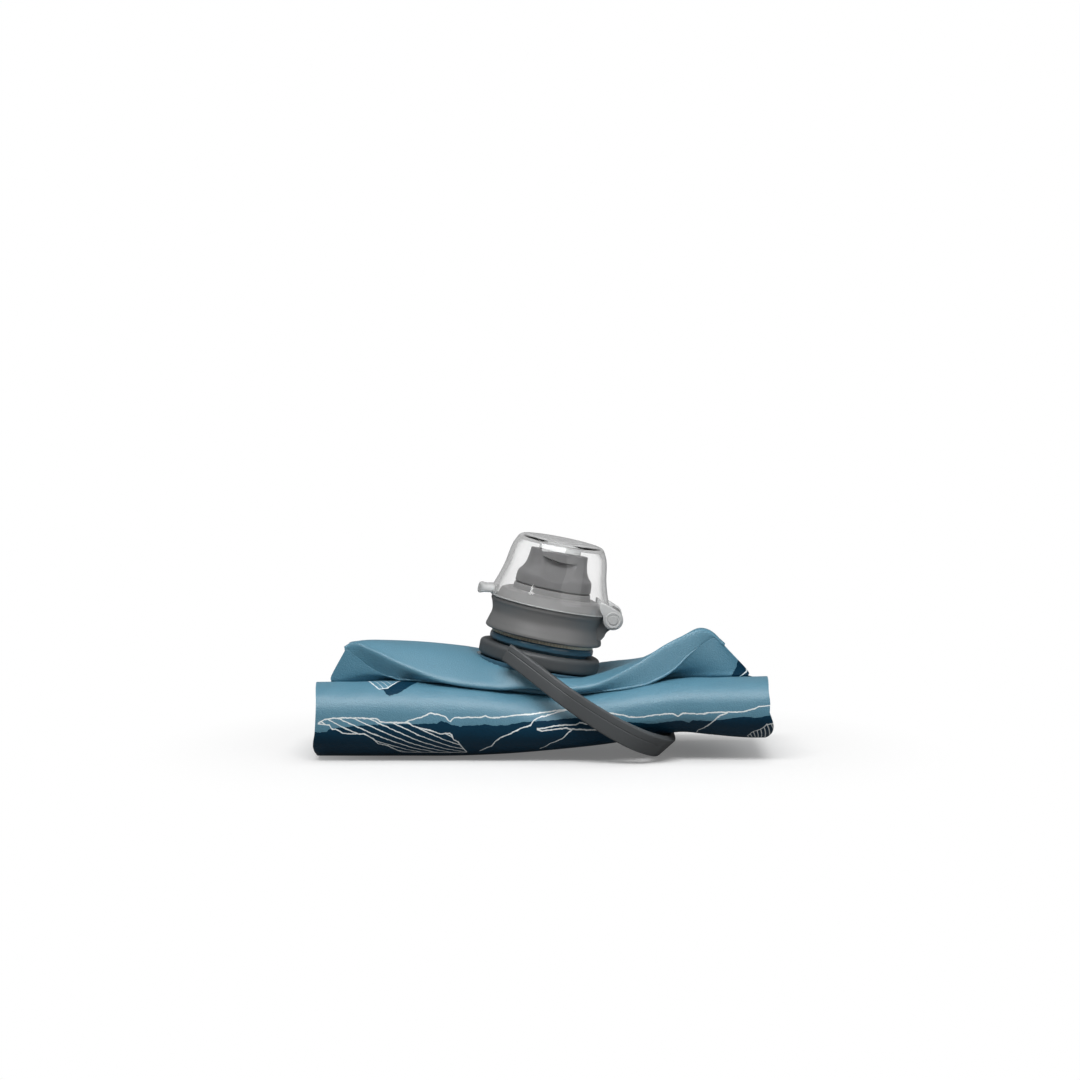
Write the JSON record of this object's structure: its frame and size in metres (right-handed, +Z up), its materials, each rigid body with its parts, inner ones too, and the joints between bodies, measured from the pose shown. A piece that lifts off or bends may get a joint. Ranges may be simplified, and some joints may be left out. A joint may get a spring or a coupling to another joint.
{
  "type": "folding water bottle",
  "caption": "Soft film water bottle rolled up from its base, with a leaning threaded neck, a spout cap under a hinged clear dust cover, and an elastic loop round the roll.",
  "frame": {"origin": "on the floor, under the middle of the rolled pouch: the bottom centre of the whole object's box", "axes": "+X along the roll towards the cover's hinge side, +Z up; the side with the fold and the front leg of the loop faces -Y"},
  "size_m": [0.128, 0.0534, 0.0626],
  "materials": {
    "printed_film": "satin, fine pebble, printed",
    "plain_film": "satin",
    "collar_film_blue": "glossy, slightly see-through",
    "neck_plastic": "milky, slightly see-through",
    "loop_rubber": "matte, soft moulded",
    "cap_plastic": "fine satin texture",
    "spout_plastic": "satin",
    "pin_plastic": "glossy",
    "seal": "matte",
    "clear_plastic": "clear, moulded"
  },
  "bodies": {
    "pouch_roll": {"front_panel_roll": "printed_film", "back_panel_roll": "printed_film", "base_gusset": "plain_film"},
    "shoulder": {"front_panel_shoulder": "printed_film", "back_panel_shoulder": "printed_film", "neck_fitment": "collar_film_blue", "neck_finish": "neck_plastic"},
    "handle_ring": {"handle_ring": "loop_rubber"},
    "handle_strap": {"handle_strap": "loop_rubber"},
    "gasket": {"cap_gasket": "seal"},
    "cap": {"cap_base": "cap_plastic", "hinge_pin": "pin_plastic", "valve_o_rings": "seal"},
    "spout": {"spout": "spout_plastic"},
    "cover": {"dust_cover": "clear_plastic"}
  },
  "joints": [
    {"name": "neck_rise", "type": "slide", "parent": "pouch_roll", "child": "shoulder", "axis": [0.1951, 0, 0.9808], "range_m": [0, 0.02]},
    {"name": "handle_swivel", "type": "hinge", "parent": "shoulder", "child": "handle_ring", "pos_m": [0, 0, 0.0327], "axis": [0.1951, 0, 0.9808], "range_deg": [-4, 4]},
    {"name": "handle_swing", "type": "hinge", "parent": "handle_ring", "child": "handle_strap", "pos_m": [-0.007, 0, 0.02828], "axis": [0, -1, 0], "range_deg": [0, 110], "deforming": ["handle_strap"]},
    {"name": "cap_lift", "type": "slide", "parent": "shoulder", "child": "gasket", "axis": [0.1951, 0, 0.9808], "range_m": [0, 0.0064]},
    {"name": "cap_turn", "type": "hinge", "parent": "gasket", "child": "cap", "pos_m": [0, 0, 0.0327], "axis": [0.1951, 0, 0.9808], "range_deg": [0, 720]},
    {"name": "spout_turn", "type": "hinge", "parent": "cap", "child": "spout", "pos_m": [0, 0, 0.0327], "axis": [0.1951, 0, 0.9808], "range_deg": [0, 90]},
    {"name": "cover_hinge", "type": "hinge", "parent": "cap", "child": "cover", "pos_m": [0.01949, 0, 0.0379], "axis": [0, 1, 0], "range_deg": [0, 105]}
  ],
  "couplings": [
    {"joint": "neck_rise", "follows": "handle_swing", "m_per_rad": 0.010417},
    {"joint": "cap_lift", "follows": "cap_turn", "m_per_rad": 0.0005093}
  ]
}
